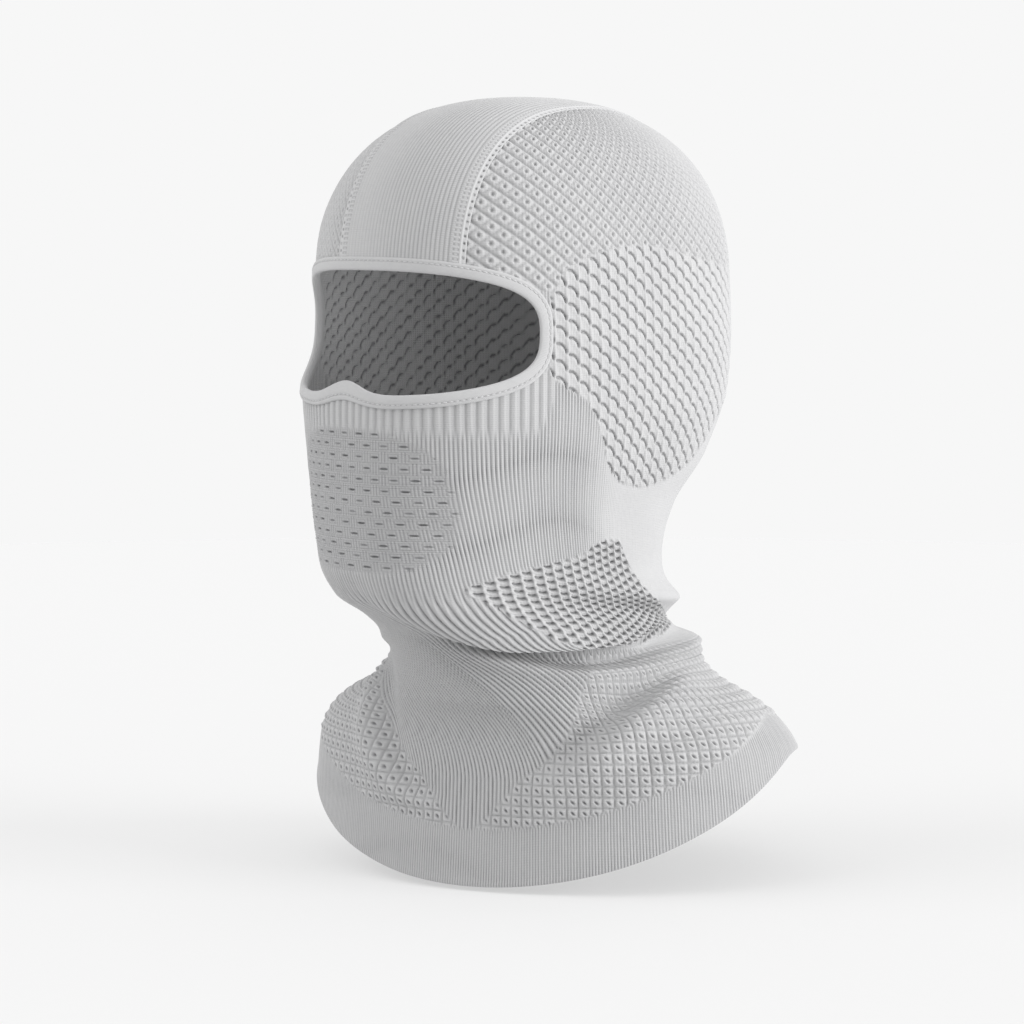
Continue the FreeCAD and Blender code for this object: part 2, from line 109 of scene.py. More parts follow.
HEM_AT_SIDE = -185.0
HEM_SLOPE = 0.6
HEM_PEAK = -184.0
HEM_BACK_SLOPE = 0.16
HEM_ROUND = 5.0
HEM_WIDTH = 25.0


def curve_through(knots):
    """A smooth function of arrays through (x, y) knots with no overshoot, flat beyond its ends."""
    xs, ys = np.array(knots, float).T
    steps = np.diff(xs)
    slopes = np.diff(ys) / steps
    tangents = np.zeros(len(xs))
    tangents[0] = slopes[0]
    tangents[-1] = slopes[-1]
    for k in range(1, len(xs) - 1):
        if slopes[k - 1] * slopes[k] > 0:
            w0 = 2 * steps[k] + steps[k - 1]
            w1 = steps[k] + 2 * steps[k - 1]
            tangents[k] = (w0 + w1) / (w0 / slopes[k - 1] + w1 / slopes[k])

    def value(x):
        x = np.clip(x, xs[0], xs[-1])
        k = np.clip(np.searchsorted(xs, x, side="right") - 1, 0, len(steps) - 1)
        s = steps[k]
        t = (x - xs[k]) / s
        return ((1 + 2 * t) * (1 - t) ** 2 * ys[k] + t * (1 - t) ** 2 * s * tangents[k]
                + t * t * (3 - 2 * t) * ys[k + 1] + t * t * (t - 1) * s * tangents[k + 1])
    return value


def smooth(low, high, x):
    """0 at low, 1 at high, smooth between them and flat beyond; low may be the greater."""
    t = np.clip((x - low) / (high - low), 0.0, 1.0)
    return t * t * (3 - 2 * t)


section_curves = [curve_through([(s[0], s[k]) for s in SECTIONS]) for k in range(1, 6)]


def dome_scale(z):
    def meridian(height):
        way = np.clip((height - DOME_BASE) / (CROWN_TOP - DOME_BASE), 0.0, 1.0)
        return np.maximum(1 - way ** DOME_ROUND, 1e-9) ** (1 / DOME_ROUND)
    return np.where(z > BROW, meridian(z) / meridian(BROW), 1.0)


def turned(z):
    return math.radians(BIB_TURN) * smooth(TURN_TOP, TURN_BOTTOM, z)


# How far the face of the garment is pulled to the wearer's left, in degrees, by chart angle.
pull = curve_through([(-180, 0), (-125, 1), (-85, 5), (-52, 7.5), (-25, 3), (-5, -1.5), (15, -2.5),
                      (32, -1.8), (50, 0), (180, 0)])
PULL_LOW = -105
PULL_FULL = -60


def signed(angle):
    """The angle within half a turn either way of the front."""
    return (angle + 180) % 360 - 180


def pulled(angle, z):
    """Direction from the head's middle of a chart place, in degrees."""
    return angle + pull(signed(angle)) * smooth(PULL_LOW, PULL_FULL, z)


def chart_angle(direction, z):
    """The chart angle that is pulled to this direction."""
    angle = direction
    for _ in range(12):
        angle = angle + direction - pulled(angle, z)
    return angle


def knit_form(angle, z):
    """Points of the plain outer form at these chart coordinates."""
    return form(pulled(angle, z), z)


def oval(a, half, front, back, square):
    """Radius of a squared ellipse in these directions, in radians."""
    sine = np.abs(np.sin(a)) / half
    cosine = np.abs(np.cos(a)) / np.where(np.cos(a) > 0, front, back)
    return (sine ** square + cosine ** square) ** (-1 / square)


def form(angle, z):
    """Points of the outer form in these directions from the head's middle."""
    angle, z = np.broadcast_arrays(np.asarray(angle, float), np.asarray(z, float))
    centre, half, front, back, square = [curve(z) for curve in section_curves]
    scale = dome_scale(z)
    a = np.radians(angle)
    radius = oval(a, half * scale, front * scale, back * scale, square)
    a = a + turned(z)
    return np.stack([radius * np.sin(a), centre - radius * np.cos(a), z], axis=-1)


def unit(v):
    return v / np.maximum(np.linalg.norm(v, axis=-1, keepdims=True), 1e-9)


def distance_along(points):
    """Length from the first point of a line to each of its points."""
    return np.concatenate([[0.0], np.cumsum(np.linalg.norm(np.diff(points, axis=0), axis=-1))])


def form_normal(angle, z):
    da = 0.2
    dz = np.where(z > 95, 0.05, 0.3)
    around = knit_form(angle + da, z) - knit_form(angle - da, z)
    up = knit_form(angle, z + dz) - knit_form(angle, z - dz)
    return unit(np.cross(around, up))


def hem_height(angle):
    """Height of the hem's edge: low over the chest, high over the shoulders."""
    a = np.radians(angle)
    z = np.full(np.shape(a), HEM_AT_SIDE)
    for _ in range(12):
        forward = oval(a, *[curve(z) for curve in section_curves[1:]]) * np.cos(a)
        chest = HEM_AT_SIDE - HEM_SLOPE * forward
        behind = HEM_PEAK + HEM_BACK_SLOPE * forward
        z = (chest + behind) / 2 - np.hypot((chest - behind) / 2, HEM_ROUND)
    return z


# The hem band's rise at each angle, as a part of its rise in front: less where the shoulder is flat.
hem_part = curve_through([(0, 1.0), (50, 1.04), (75, 0.92), (90, 0.68), (104, 0.58), (180, 0.56)])


def hem_rise(angle):
    """Height of the hem band at these chart angles."""
    return HEM_WIDTH * hem_part(np.abs(signed(angle)))


def eye_outline(turn, part):
    """Chart place on the eye opening's outline: part 0 is the opening, 1 the binding's outside."""
    sine = np.sin(turn)
    cosine = np.cos(turn)
    radius = (np.abs(sine) ** EYE_SQUARE + np.abs(cosine) ** EYE_SQUARE) ** (-1 / EYE_SQUARE)
    angle = (EYE_HALF_ANGLE + part * BINDING_ANGLE) * radius * cosine
    z = EYE_MIDDLE + (EYE_HALF_HEIGHT + part * BINDING_WIDTH) * radius * sine
    nose = NOSE_RISE * np.exp(-(angle / NOSE_WIDTH) ** 2) * (1 - 0.4 * part)
    return angle, z + np.where(sine < 0, nose, 0.0)


def eye_part(angle, z):
    """How far a chart place is from the eye opening's edge, in binding widths; negative is in the opening."""
    nose = NOSE_RISE * np.exp(-(angle / NOSE_WIDTH) ** 2) * 0.8
    up = z - EYE_MIDDLE
    up = np.where(up < 0, up - nose * smooth(0, -8, up), up)
    here = ((np.abs(angle) / EYE_HALF_ANGLE) ** EYE_SQUARE
            + (np.abs(up) / EYE_HALF_HEIGHT) ** EYE_SQUARE) ** (1 / EYE_SQUARE)
    reach = BINDING_WIDTH / EYE_HALF_HEIGHT
    side = BINDING_ANGLE / EYE_HALF_ANGLE
    share = (np.abs(angle) / EYE_HALF_ANGLE / np.maximum(here, 1e-6)) ** EYE_SQUARE
    return (here - 1) / (reach * (1 - share) + side * share)


# ---- zone borders, in chart coordinates

ear_top = curve_through([(52, 8), (54, 18), (58, 29), (70, 36), (88, 39), (112, 34), (142, 28),
                         (180, 27)])
ear_low = curve_through([(52, -16), (58, -22), (65, -28), (71, -43), (75, -57), (82, -65), (93, -68),
                         (108, -65), (121, -58), (131, -46), (141, -33), (155, -29), (180, -29)])
gather_low = curve_through([(0, -40), (40, -41), (49, -40), (55, -24)])
rib_angle = curve_through([(-221, 0), (-210, 7.5), (-196, 15.5), (-188, 22), (-176, 29), (-164, 34),
                           (-154, 39), (-140, 49), (-128, 47), (-118, 42)])
kite_top = curve_through([(26, -109), (41, -102), (63, -97), (76, -91), (82, -91), (86, -99), (91, -110),
                          (98, -119), (106, -125), (118, -129)])
kite_low = curve_through([(26, -110), (33, -118), (41, -129), (55, -136.5), (76, -138), (100, -135),
                          (118, -130)])
VENT_ANGLE = 29.5
VENT_MIDDLE = -71.5
VENT_TALL = 31.5
VENT_SQUARE = 2.6


def vent_reach(angle, z):
    """1 on the mouth vent's outline, less inside it."""
    across = (np.abs(angle) / VENT_ANGLE) ** VENT_SQUARE
    return (across + (np.abs(z - VENT_MIDDLE) / VENT_TALL) ** VENT_SQUARE) ** (1 / VENT_SQUARE)


# ---- the chart of the knitted tube

BLOCKS_ROUND = 472
BLOCK_TALL = 1.5
CHEST_ROWS = 66

profile_z = np.linspace(103.0, -252.0, 4000)
profile_length = distance_along(form(60.0, profile_z))


def length_at(z):
    """Length of knit from the crown down to this height, along the side of the face."""
    return np.interp(-z, -profile_z, profile_length)


TUBE_TOP = 102.5
tube_start, tube_end = length_at(np.array([TUBE_TOP, BIB_TOP]))
TUBE_ROWS = int(round((tube_end - tube_start) / BLOCK_TALL))
ALL_ROWS = TUBE_ROWS + CHEST_ROWS


def chart_place(row, column):
    """Angle and height of the chart's blocks, which end exactly at the hem."""
    angle = -180 + 360 * column / BLOCKS_ROUND
    tube = np.interp(tube_start + (tube_end - tube_start) * row / TUBE_ROWS, profile_length, profile_z)
    below = np.clip((row - TUBE_ROWS) / CHEST_ROWS, 0, 1)
    chest = BIB_TOP + (hem_height(angle[:1]) - BIB_TOP) * below
    return angle, np.where(row > TUBE_ROWS, chest, tube)


# ---- folds: large soft shapes of the neck and bib

MM_PER_DEGREE = 1.35


def ridge(angle, height, crest, above, below):
    """A fold whose crest runs round the neck, through knots of (angle, height, size).

    above and below are its widths on the upper and the lower side of the crest.
    """
    line = curve_through([(a, z) for a, z, _ in crest])
    swell = curve_through([(a, s) for a, _, s in crest])
    slope = (line(angle + 1) - line(angle - 1)) / (2 * MM_PER_DEGREE)
    offset = (height - line(angle)) / np.sqrt(1 + slope ** 2)
    return swell(angle) * np.exp(-(offset / np.where(offset > 0, above, below)) ** 2)


def upright_ridge(angle, height, crest, front, rear):
    """A fold whose crest runs down the bib, through knots of (height, angle, size)."""
    line = curve_through([(z, a) for z, a, _ in crest])
    swell = curve_through([(z, s) for z, _, s in crest])
    slope = (line(height + 1) - line(height - 1)) / 2 * MM_PER_DEGREE
    offset = (angle - line(height)) * MM_PER_DEGREE / np.sqrt(1 + slope ** 2)
    return swell(height) * np.exp(-(offset / np.where(offset > 0, rear, front)) ** 2)


ROLL = [(30, -108, 0), (48, -110, 1.0), (64, -112, 2.6), (84, -114, 4.0), (104, -117.5, 6.0),
        (124, -121, 7.0), (160, -124, 6.5), (200, -123, 6.0), (236, -119, 6.5), (262, -115, 4.0),
        (292, -111, 1.5), (318, -109, 0)]
UNDER_ROLL = [(60, -120, 0), (84, -123, 1.5), (110, -128.5, 3.0), (150, -132, 3.0), (205, -131, 2.5),
              (240, -128, 2.5), (275, -122, 0)]
JAW = [(0, -117, 0), (9, -121.5, 3.5), (18, -126.5, 6.0), (30, -132, 7.5), (44, -135, 8.5),
       (60, -135, 7.5), (80, -131.5, 4.5), (100, -128, 1.5), (118, -127, 0)]
POCKET = [(0, -124, 0), (9, -128, 3.0), (17, -132.5, 5.5), (26, -137.5, 6.5), (38, -141.5, 6.5),
          (54, -142.5, 6.0), (72, -141, 4.0), (95, -136, 1.5), (110, -132, 0)]
SECOND = [(2, -136, 0), (13, -139.5, 3.0), (26, -144, 4.5), (45, -148.5, 5.0), (68, -149, 5.0),
          (90, -146, 6.5),
          (112, -142, 9.5), (140, -142, 9.5), (176, -145, 7.0), (210, -146, 7.5), (240, -144, 8.0),
          (275, -141, 5.0), (300, -138, 2.5), (325, -134, 0)]
UNDER_SECOND = [(30, -160, 0), (44, -158, 2.5), (60, -155, 3.0), (80, -153, 1.5), (100, -151, 0)]
SHOULDER = [(8, -210, 0), (16, -204, 2.0), (24, -196, 4.5), (36, -185, 6.5), (50, -170, 7.5),
            (70, -160, 7.0), (90, -154, 5.0), (112, -150, 2.0), (130, -150, 0)]
SHOULDER_VALLEY = [(18, -192, 0), (26, -184, 3.0), (34, -174, 4.5), (46, -163.5, 4.5), (60, -157.5, 2.0),
                   (72, -154, 0)]
SHOULDER_SECOND = [(26, -212, 0), (36, -204, 1.5), (48, -193, 2.5), (60, -181, 3.0), (78, -171, 3.0),
                   (100, -164, 2.0), (125, -160, 0)]
FAR_RIDGE = [(-212, -15, 0), (-204, -24, 4.0), (-194, -30, 6.0), (-178, -36, 7.0), (-166, -38.5, 6.0),
             (-156, -42, 3.5), (-148, -46, 0)]
FAR_VALLEY = [(-206, -13, 0), (-196, -21, 3.0), (-180, -27, 3.5), (-166, -30, 3.0), (-152, -33, 1.5),
              (-144, -36, 0)]
FAR_JAW = [(-70, -128, 0), (-52, -133, 3.5), (-36, -137, 3.5), (-20, -137, 1.5), (-8, -134, 0)]
BACK_WAVE = [(150, -172, 0), (172, -178, 2.5), (190, -182, 2.5), (212, -178, 0)]


# The plain folds round the neck: sign, crest, and widths above and below it.
AROUND = [(-1, UNDER_ROLL, 3.0, 3.0), (-1, POCKET, 3.0, 4.0), (-1, UNDER_SECOND, 4.0, 5.0),
          (1, SHOULDER, 6.5, 9.0), (-1, SHOULDER_VALLEY, 5.0, 4.0), (1, SHOULDER_SECOND, 6.0, 8.0),
          (1, BACK_WAVE, 8.0, 9.0)]


def folds(angle, z):
    """Outward swell and downward sag of the knit, in millimetres."""
    around = (angle + 20) % 360 - 20
    far = (angle + 190) % 360 - 190
    roll = ridge(around, z, ROLL, 7.5, 5.0)
    jaw = ridge(around, z, JAW, 15.0, 2.4)
    second = ridge(around, z, SECOND, 5.0, 6.0)
    swell = roll + jaw + second
    for sign, crest, above, below in AROUND:
        swell = swell + sign * ridge(around, z, crest, above, below)
    swell = swell + upright_ridge(far, z, FAR_RIDGE, 9.0, 5.5) - upright_ridge(far, z, FAR_VALLEY, 4.5, 6.0)
    swell = swell + ridge(far, z, FAR_JAW, 9.0, 4.0)
    sag = 0.25 * roll + 0.5 * ridge(around, z, JAW, 7.0, 2.4) + 0.3 * second
    return swell, sag


# ---- knit relief

def groove(x, width):
    """1 at whole numbers, falling to 0 at width from them."""
    away = np.abs(x - np.round(x))
    return np.clip(1 - away / width, 0, 1) ** 1.5


def dot(x, y, rx, ry):
    """1 in the middle of each unit cell centred on whole numbers, falling to 0 at radii rx, ry."""
    dx = (x - np.round(x)) / rx
    dy = (y - np.round(y)) / ry
    return np.clip(1 - (dx * dx + dy * dy), 0, 1)


def round_rib(wale):
    """Round ribs with narrow grooves between them, one for each whole number."""
    return np.abs(np.cos(np.pi * wale)) ** 0.7


def ladder(x, y):
    """Ear mesh: wavy strands with a hooked float in each cell. Returns relief, and the hole mask as painted
    shade.
    """
    column = np.floor(x)
    x = x - column
    y = y + column / 3.0
    strand = np.exp(-(((x + 0.04 * np.sin(2 * np.pi * y) + 0.5) % 1 - 0.5) / 0.10) ** 2)
    down = y - np.floor(y)
    hook = 0.22 + 0.10 * x + 0.42 * np.clip((x - 0.35) / 0.55, 0, 1) ** 2.4
    float_line = np.exp(-((down - hook) / 0.075) ** 2) * smooth(0.06, 0.18, x) * smooth(0.99, 0.88, x)
    drop = np.exp(-((x - 0.86) / 0.065) ** 2) * smooth(0.5, 0.62, down) * smooth(0.92, 0.80, down)
    hole = np.clip(float_line + 0.7 * drop, 0, 1)
    below = (down - hook - 0.14) % 1.0
    pillow = np.exp(-((below - 0.16) / 0.22) ** 2) * smooth(0.06, 0.3, x) * smooth(0.98, 0.75, x)
    return 0.6 * strand + 0.42 * pillow - 1.15 * hole, hole


def small_ladder(x, y):
    """Neck mesh: straight strands with a sagging rung in each cell. Returns relief, and the hole mask as
    painted shade.
    """
    column = np.floor(x)
    x = x - column
    y = y + 0.37 * column
    down = y - np.floor(y)
    strand = np.exp(-(((x + 0.5) % 1 - 0.5) / 0.2) ** 2)
    bow = 0.60 - 1.3 * (x - 0.55) ** 2
    hole = np.exp(-((down - bow) / 0.14) ** 2) * smooth(0.12, 0.26, x) * smooth(0.98, 0.86, x)
    rung = np.exp(-((down - bow - 0.33) / 0.16) ** 2) + np.exp(-((down - bow + 0.67) / 0.16) ** 2)
    return 1.0 * strand + 0.65 * rung * smooth(0.05, 0.25, x) - 1.4 * hole, hole


def diamond(x, y):
    """Temple lattice: diamonds between slanting grooves, with an eyelet in the middle of each. The second
    value is painted shade in the eyelets and grooves.
    """
    first = x + y
    second = x - y
    cut = np.maximum(groove(second + 0.5, 0.20), 0.55 * groove(first + 0.5, 0.17))
    dx = (first - np.round(first) + second - np.round(second)) / 2
    dy = (first - np.round(first) - second + np.round(second)) / 2
    eyelet = np.clip(1 - (dx / 0.10) ** 2 - ((dy + 0.02) / 0.17) ** 2, 0, 1)
    ring = np.exp(-((np.hypot(dx / 0.75, dy) - 0.22) / 0.10) ** 2)
    return 0.6 * ring - 0.6 * cut - 0.55 * eyelet, np.clip(0.7 * eyelet + 0.6 * cut, 0, 1)


def squares(x, y):
    """Bib lattice: puffed squares between straight grooves, each crossed by a slanting eyelet. The second
    value is painted shade in the eyelets and grooves.
    """
    dx = x - np.round(x)
    dy = y - np.round(y)
    cut = np.maximum(groove(x + 0.5, 0.17), 0.9 * groove(y + 0.5, 0.19))
    slant = dx - dy
    spread = dx + dy
    eyelet = np.clip(1 - (slant / 0.19) ** 2 - (spread / 0.42) ** 2, 0, 1)
    puff = (1 - (2 * np.abs(dx)) ** 3) * (1 - (2 * np.abs(dy)) ** 3)
    lower = np.exp(-((slant + 0.26) / 0.2) ** 2 - (spread / 0.5) ** 2)
    return 0.6 * puff + 0.45 * lower - 0.55 * cut - 1.0 * eyelet, np.clip(eyelet + 0.5 * cut, 0, 1)


def slits(x, y):
    """Mouth vent: thin slits in staggered rows on a basket of ribs and floats. The second value is painted
    shade: dark in the slits, a little dark all over, lighter where the basket stands up.
    """
    row = np.round(y)
    x = x + 0.5 * (row % 2)
    dx = x - np.round(x)
    dy = y - row
    slit = np.clip(1.2 - (np.abs(dx) / 0.22) ** 4 - (dy / 0.085) ** 2, 0, 1)
    lip = np.clip(1 - (dx / 0.3) ** 4 - ((dy - 0.2) / 0.1) ** 2, 0, 1)
    upright = np.cos(2 * np.pi * dx * 6) * smooth(0.10, 0.2, np.abs(dx))
    beside = smooth(0.26, 0.34, np.abs(dx))
    between = smooth(0.25, 0.32, np.abs(dy))
    basket = 0.24 * upright * (1 - between * (1 - beside)) + 0.18 * between * np.cos(2 * np.pi * dy * 5)
    strength = 0.75 + 0.25 * np.sin(2.1 * np.round(x) + 1.7 * row)
    return basket + 0.35 * lip - 1.2 * slit * strength, np.clip(slit * strength + 0.35 - 0.8 * basket, 0, 1)


# Knit counts: features in one full turn of the garment.
FINE_RIBS = 354
BROAD_RIBS = 148
HEM_RIBS = 472
TEMPLE_CELLS = 62
EAR_CELLS = 93
NECK_CELLS = 104
BIB_CELLS = 120
VENT_CELLS = 68
TEMPLE_ROW = 7.4
EAR_ROW = 7.3
NECK_ROW = 3.5
BIB_ROW = 4.8
VENT_ROW = 5.0


def leaning_ribs(angle, z):
    """Ribs of throat and chest: they lean to the wearer's left, and are bolder towards that side."""
    lean = angle - 30.0 * smooth(-110, -196, z)
    bold = smooth(-16, 2, lean)
    fine_part = 300 * lean / 360
    bold_part = (175 - 300) / 360 * np.where(lean > -6, lean + 6, 0.0)
    return round_rib(fine_part + bold_part), bold


def knit(angle, z, length, hem_up):
    """Relief in millimetres, and painted shade from 0 to 1 in the grooves and holes of the knit."""
    turn = angle / 360
    away = np.abs(signed(angle))

    # Ribs: fine everywhere on the face, fading to plain jersey behind the cheek.
    rib = round_rib(turn * FINE_RIBS)
    plain = smooth(60, 80, away) * smooth(-25, -60, z) + smooth(74, 88, away)
    strength = 0.62 * (1 - np.clip(plain, 0, 1)) + 0.05
    relief = strength * rib - 0.4 * strength
    # Painted shade, darkest in the grooves between the ribs.
    painted_shade = 0.9 * (1 - rib) * strength / 0.67

    # Each pattern's second value is its painted shade; lay blends it in over the mask with the pattern's
    # relief.
    def lay(mask, height, depth, scale):
        nonlocal relief, painted_shade
        relief = relief * (1 - mask) + mask * height * scale
        painted_shade = painted_shade * (1 - mask) + mask * depth

    leaning, bold = leaning_ribs(signed(angle), z)
    panel = smooth(1.5, -1.5, (away - rib_angle(z)) * MM_PER_DEGREE) * smooth(-106, -120, z)
    lay(panel, (leaning - 0.4) * (0.75 + 0.55 * bold), 0.95 * (1 - leaning), 1.0)

    # Gathered band under the eyes: soft broad ribs that run out into the fine ones.
    broad = np.abs(np.cos(np.pi * turn * BROAD_RIBS))
    band = smooth(-5, 3, z - gather_low(away)) * smooth(57, 52, away) * smooth(-12, -16, z)
    lay(band, broad - 0.5, 0.45 * (1 - broad), 0.6)

    height, depth = slits(turn * VENT_CELLS + 0.5, length / VENT_ROW)
    vent = smooth(1.04, 0.94, vent_reach(angle, z))
    lay(vent, height - 0.1, depth, 0.8)

    height, depth = diamond(turn * TEMPLE_CELLS, length / TEMPLE_ROW)
    temple = smooth(-1, 1, z - np.where(away < 53, 20, ear_top(away)))
    behind = 0.45 * smooth(90, 150, away) * smooth(30, 80, z)
    fade = 1 - behind - 0.55 * smooth(-5, -25, signed(angle))
    fade = np.clip(fade, 0.3, 1)
    lay(temple, height * fade, depth * fade, 0.95)

    height, depth = ladder(turn * EAR_CELLS, length / EAR_ROW)
    ear = smooth(-1, 1, z - ear_low(away)) * smooth(1, -1, z - ear_top(away)) * smooth(52, 53.5, away)
    lay(ear, height, depth, 1.05)

    height, depth = squares(turn * BIB_CELLS, length / BIB_ROW)
    side = smooth(-1.5, 1.5, (away - rib_angle(z)) * MM_PER_DEGREE)
    lattice = side * smooth(-139, -142, z + 0.03 * (away - 90)) * smooth(0, 1.5, hem_up - hem_rise(angle))
    lay(lattice, height, depth, 1.0)

    height, depth = small_ladder(turn * NECK_CELLS, length / NECK_ROW)
    kite = smooth(-1, 1, z - kite_low(away)) * smooth(1, -1, z - kite_top(away))
    kite = kite * smooth(26, 28, away) * smooth(119, 116, away)
    lay(kite, height, depth, 1.0)

    # Hem band: very fine ribs, smooth towards the edge.
    fine = np.abs(np.cos(np.pi * turn * HEM_RIBS))
    hem = smooth(1.0, -1.0, hem_up - hem_rise(angle))
    lay(hem, fine - 0.5, 0.7 * (1 - fine), 0.36)
    welt = 0.3 * smooth(3.0, 1.4, hem_up) * smooth(-0.2, 1.0, hem_up)
    return relief + hem * welt, painted_shade


DOWN = np.array([0.0, 0.0, -1.0])
RELIEF_TOP = 0.9
LINING_RELIEF = 0.5


def wrinkles(angle, z):
    """Slight waviness of worn knit, in millimetres."""
    turn = np.radians(angle)
    soft = 0.3 * np.sin(7 * turn + z / 15) * np.sin(z / 19 + 1.3) + 0.12 * np.sin(12 * turn - z / 14 + 0.7)
    return soft * smooth(75, 40, z)


def knit_surface(row, column):
    """Outer points, lining points, knit coordinates, painted shade and shading normals at chart places.

    One more row and column is worked out on every side, so that normals run on across panel borders.
    """
    row = np.concatenate([[2 * row[0] - row[1]], row, [2 * row[-1] - row[-2]]])
    column = np.concatenate([[2 * column[0] - column[1]], column, [2 * column[-1] - column[-2]]])
    row, column = np.meshgrid(row, column, indexing="ij")
    angle, z = chart_place(row, column)
    length = length_at(z)
    hem_up = z - hem_height(angle[:1])
    base = knit_form(angle, z)
    normal = form_normal(angle, z)
    swell, sag = folds(angle, z)
    swell = swell + wrinkles(angle, z)
    wobble = 0.08 * np.sin(z / 9.3 + 0.8 * np.sin(np.radians(angle * 5)))
    relief, painted_shade = knit(angle + wobble, z, length, hem_up)
    outer = base + normal * (swell + relief - RELIEF_TOP)[..., None] + DOWN * sag[..., None]
    depth = swell - FABRIC - LINING_RELIEF * relief
    lining = base + normal * depth[..., None] + DOWN * sag[..., None]
    across = outer[1:-1, 2:] - outer[1:-1, :-2]
    along = outer[:-2, 1:-1] - outer[2:, 1:-1]
    shading = unit(np.cross(across, along))
    inside = (slice(1, -1), slice(1, -1))
    uv = np.stack([angle * 1.5, length], axis=-1)
    return outer[inside], lining[inside], uv[inside], painted_shade[inside], shading


# ---- turning chart grids into closed panels

def panel_arrays(outer, lining, uv, painted_shade, blocks, fine_rows, fine_columns, wrap):
    """Vertices and faces of a closed panel over the filled blocks of a grid.

    The outer grid has fine_rows by fine_columns cells in each block, and the lining has one.
    """
    columns = outer.shape[1]
    count_i, count_j = blocks.shape
    lining = lining[::fine_rows, ::fine_columns]
    lining_columns = lining.shape[1]
    filled_i, filled_j = np.nonzero(blocks)

    def o(r, c):
        return r * columns + (c % columns if wrap else c)

    def n(i, j):
        return outer.shape[0] * columns + i * lining_columns + (j % lining_columns if wrap else j)

    def is_filled(i, j):
        ok = (i >= 0) & (i < count_i)
        if wrap:
            j = j % count_j
        else:
            ok &= (j >= 0) & (j < count_j)
        return ok & blocks[np.clip(i, 0, count_i - 1), np.clip(j, 0, count_j - 1)]
    quads = []
    for dr in range(fine_rows):
        for dc in range(fine_columns):
            r = fine_rows * filled_i + dr
            c = fine_columns * filled_j + dc
            quads.append(np.stack([o(r, c), o(r + 1, c), o(r + 1, c + 1), o(r, c + 1)], axis=1))
    i, j = filled_i, filled_j
    quads.append(np.stack([n(i, j), n(i, j + 1), n(i + 1, j + 1), n(i + 1, j)], axis=1))
    walls = []
    for di, dj in ((0, 1), (0, -1), (1, 0), (-1, 0)):
        open_side = ~is_filled(filled_i + di, filled_j + dj)
        i, j = filled_i[open_side], filled_j[open_side]
        r = fine_rows * i
        c = fine_columns * j
        if dj == 1:
            edge = [o(r + k, c + fine_columns) for k in range(fine_rows + 1)] + [n(i + 1, j + 1), n(i, j + 1)]
        elif dj == -1:
            edge = [o(r + k, c) for k in reversed(range(fine_rows + 1))] + [n(i, j), n(i + 1, j)]
        elif di == 1:
            edge = [o(r + fine_rows, c + k) for k in reversed(range(fine_columns + 1))]
            edge += [n(i + 1, j), n(i + 1, j + 1)]
        else:
            edge = [o(r, c + k) for k in range(fine_columns + 1)] + [n(i, j + 1), n(i, j)]
        walls.append(np.stack(edge, axis=1))
    points = np.concatenate([outer.reshape(-1, 3), lining.reshape(-1, 3)])
    flat_uv = np.concatenate([uv.reshape(-1, 2), uv[::fine_rows, ::fine_columns].reshape(-1, 2)])
    # Painted shade at each point, outer grid first, then lining.
    painted_shade_values = np.concatenate([painted_shade.reshape(-1), painted_shade[::fine_rows, ::fine_columns].reshape(-1)])
    return points, flat_uv, painted_shade_values, [np.concatenate(quads)], walls


def add_object(name, data):
    thing = bpy.data.objects.new(name, data)
    bpy.context.scene.collection.objects.link(thing)
    return thing


def make_mesh(name, points, uv, painted_shade_values, faces, walls=(), normals=None):
    """A mesh object from millimetre points and arrays of faces; walls are shaded flat.

    normals are the shading normals of the first points, which are the knit's outer face.
    """
    sets = list(faces) + [w for w in walls if len(w)]
    used = np.unique(np.concatenate([s.reshape(-1) for s in sets]))
    index = np.zeros(len(points), dtype=np.int64)
    index[used] = np.arange(len(used))
    loops = np.concatenate([index[s].reshape(-1) for s in sets]).astype(np.int32)
    totals = np.concatenate([np.full(len(s), s.shape[1]) for s in sets])
    starts = np.concatenate([[0], np.cumsum(totals)[:-1]]).astype(np.int32)
    mesh = bpy.data.meshes.new(name)
    mesh.vertices.add(len(used))
    mesh.vertices.foreach_set("co", (points[used] * MM).astype(np.float32).reshape(-1))
    mesh.loops.add(len(loops))
    mesh.loops.foreach_set("vertex_index", loops)
    mesh.polygons.add(len(totals))
    mesh.polygons.foreach_set("loop_start", starts)
    smooth_faces = np.zeros(len(totals), dtype=bool)
    smooth_faces[:sum(len(f) for f in faces)] = True
    mesh.polygons.foreach_set("use_smooth", smooth_faces)
    mesh.update(calc_edges=True)
    layer = mesh.uv_layers.new(name="knit")
    layer.data.foreach_set("uv", uv[used][loops].astype(np.float32).reshape(-1))
    # The point attribute for painted shade, which darkens grooves and holes in the material.
    attribute = mesh.attributes.new("painted_shade", "FLOAT", "POINT")
    attribute.data.foreach_set("value", painted_shade_values[used].astype(np.float32))
    mesh.validate()
    if normals is not None:
        # The outer face's loops take the grid's normals; a zero keeps the face's own.
        custom = np.zeros((len(loops), 3))
        corner = np.concatenate([s.reshape(-1) for s in sets])
        skin = np.zeros(len(loops), dtype=bool)
        skin[:faces[0].size] = (faces[0] < len(normals)).all(axis=1).repeat(faces[0].shape[1])
        custom[skin] = normals[corner[skin]]
        mesh.normals_split_custom_set(custom)
    return add_object(name, mesh)


# ---- materials

